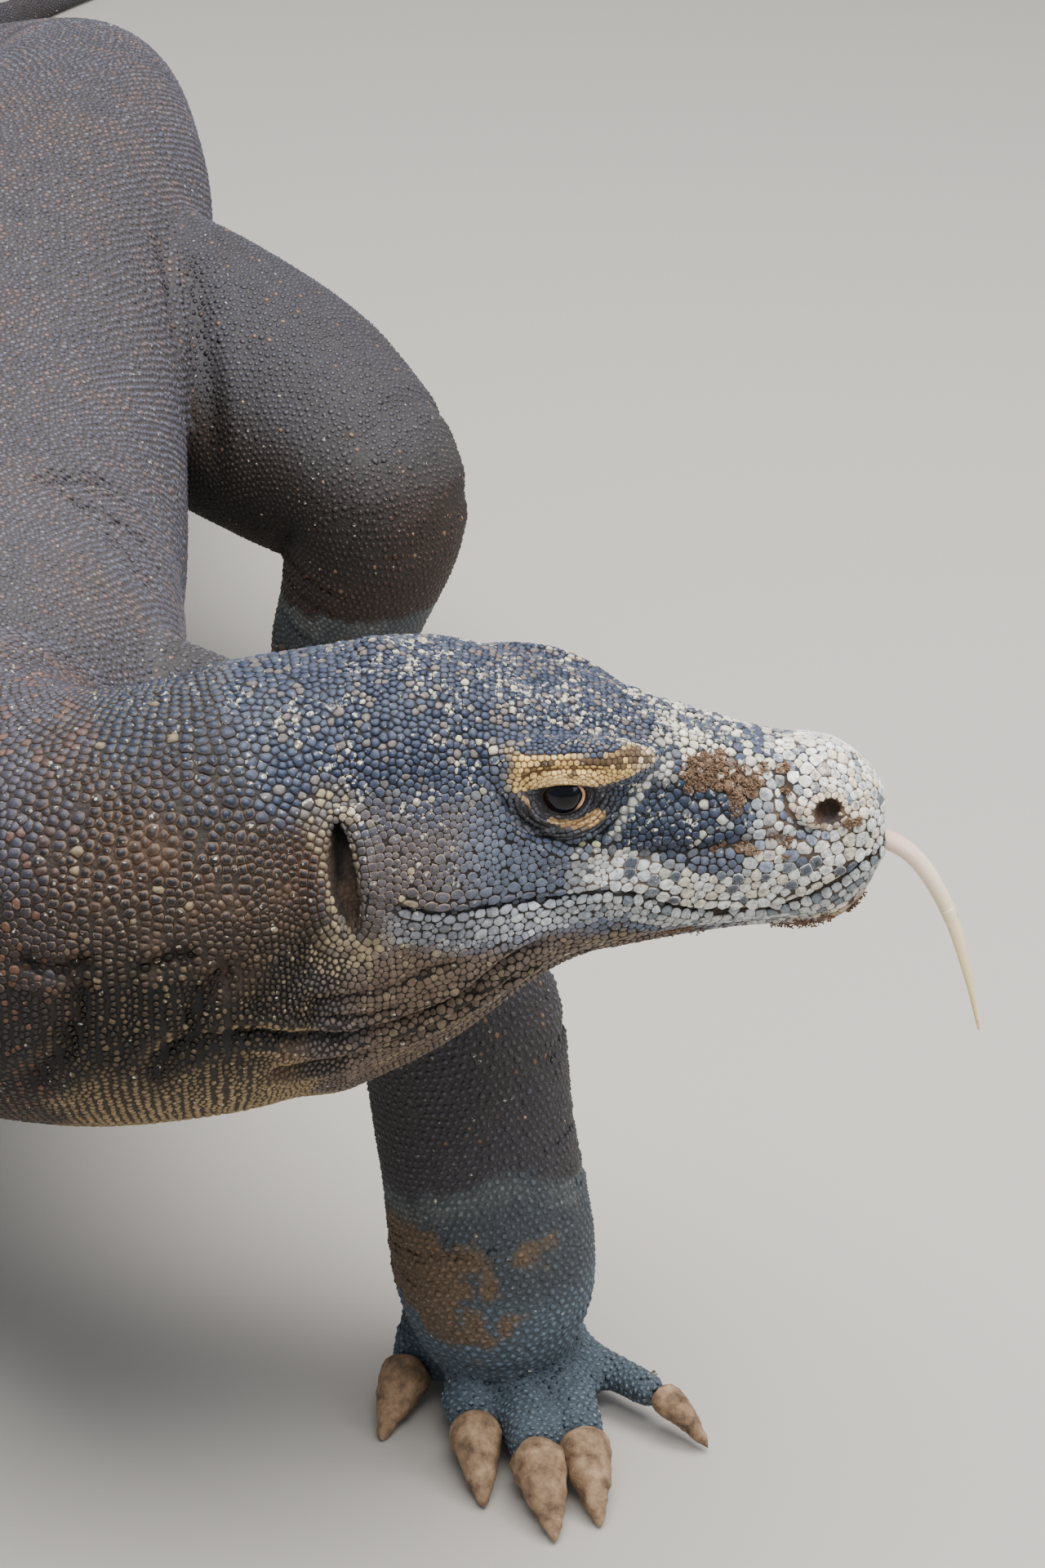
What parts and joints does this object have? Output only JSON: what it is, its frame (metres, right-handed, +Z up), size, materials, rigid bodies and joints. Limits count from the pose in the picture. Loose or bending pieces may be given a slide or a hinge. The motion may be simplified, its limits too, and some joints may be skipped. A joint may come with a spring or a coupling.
{
  "type": "komodo dragon, still life-size model",
  "caption": "Adult Komodo dragon standing in mid stride on four clawed feet, its neck and head turned to its left, forked tongue out and long tail trailing on the floor.",
  "frame": {"origin": "on the floor, under the middle of the whole dragon's box", "axes": "+Z up; the dragon faces -Y, its tail trails towards +Y, and its left side is towards +X"},
  "size_m": [0.7576, 2.2626, 0.367],
  "materials": {
    "hide": "matte, scaly",
    "horn": "matte, dusty",
    "eye": "wet gloss",
    "tongue": "moist"
  },
  "bodies": {
    "root": {"head": "hide", "jaw": "hide", "neck": "hide", "chest": "hide", "belly": "hide", "pelvis": "hide", "tail_base": "hide", "tail_middle": "hide", "tail_rear": "hide", "tail_tip": "hide", "fore_left_upper_arm": "hide", "fore_left_forearm": "hide", "fore_left_hand": "hide", "fore_left_claw_1": "horn", "fore_left_claw_2": "horn", "fore_left_claw_3": "horn", "fore_left_claw_4": "horn", "fore_left_claw_5": "horn", "fore_right_upper_arm": "hide", "fore_right_forearm": "hide", "fore_right_hand": "hide", "fore_right_claw_1": "horn", "fore_right_claw_2": "horn", "fore_right_claw_3": "horn", "fore_right_claw_4": "horn", "fore_right_claw_5": "horn", "hind_left_thigh": "hide", "hind_left_shank": "hide", "hind_left_foot": "hide", "hind_left_claw_1": "horn", "hind_left_claw_2": "horn", "hind_left_claw_3": "horn", "hind_left_claw_4": "horn", "hind_left_claw_5": "horn", "hind_right_thigh": "hide", "hind_right_shank": "hide", "hind_right_foot": "hide", "hind_right_claw_1": "horn", "hind_right_claw_2": "horn", "hind_right_claw_3": "horn", "hind_right_claw_4": "horn", "hind_right_claw_5": "horn", "eye_left": "eye", "eye_right": "eye", "tongue": "tongue"}
  },
  "joints": []
}
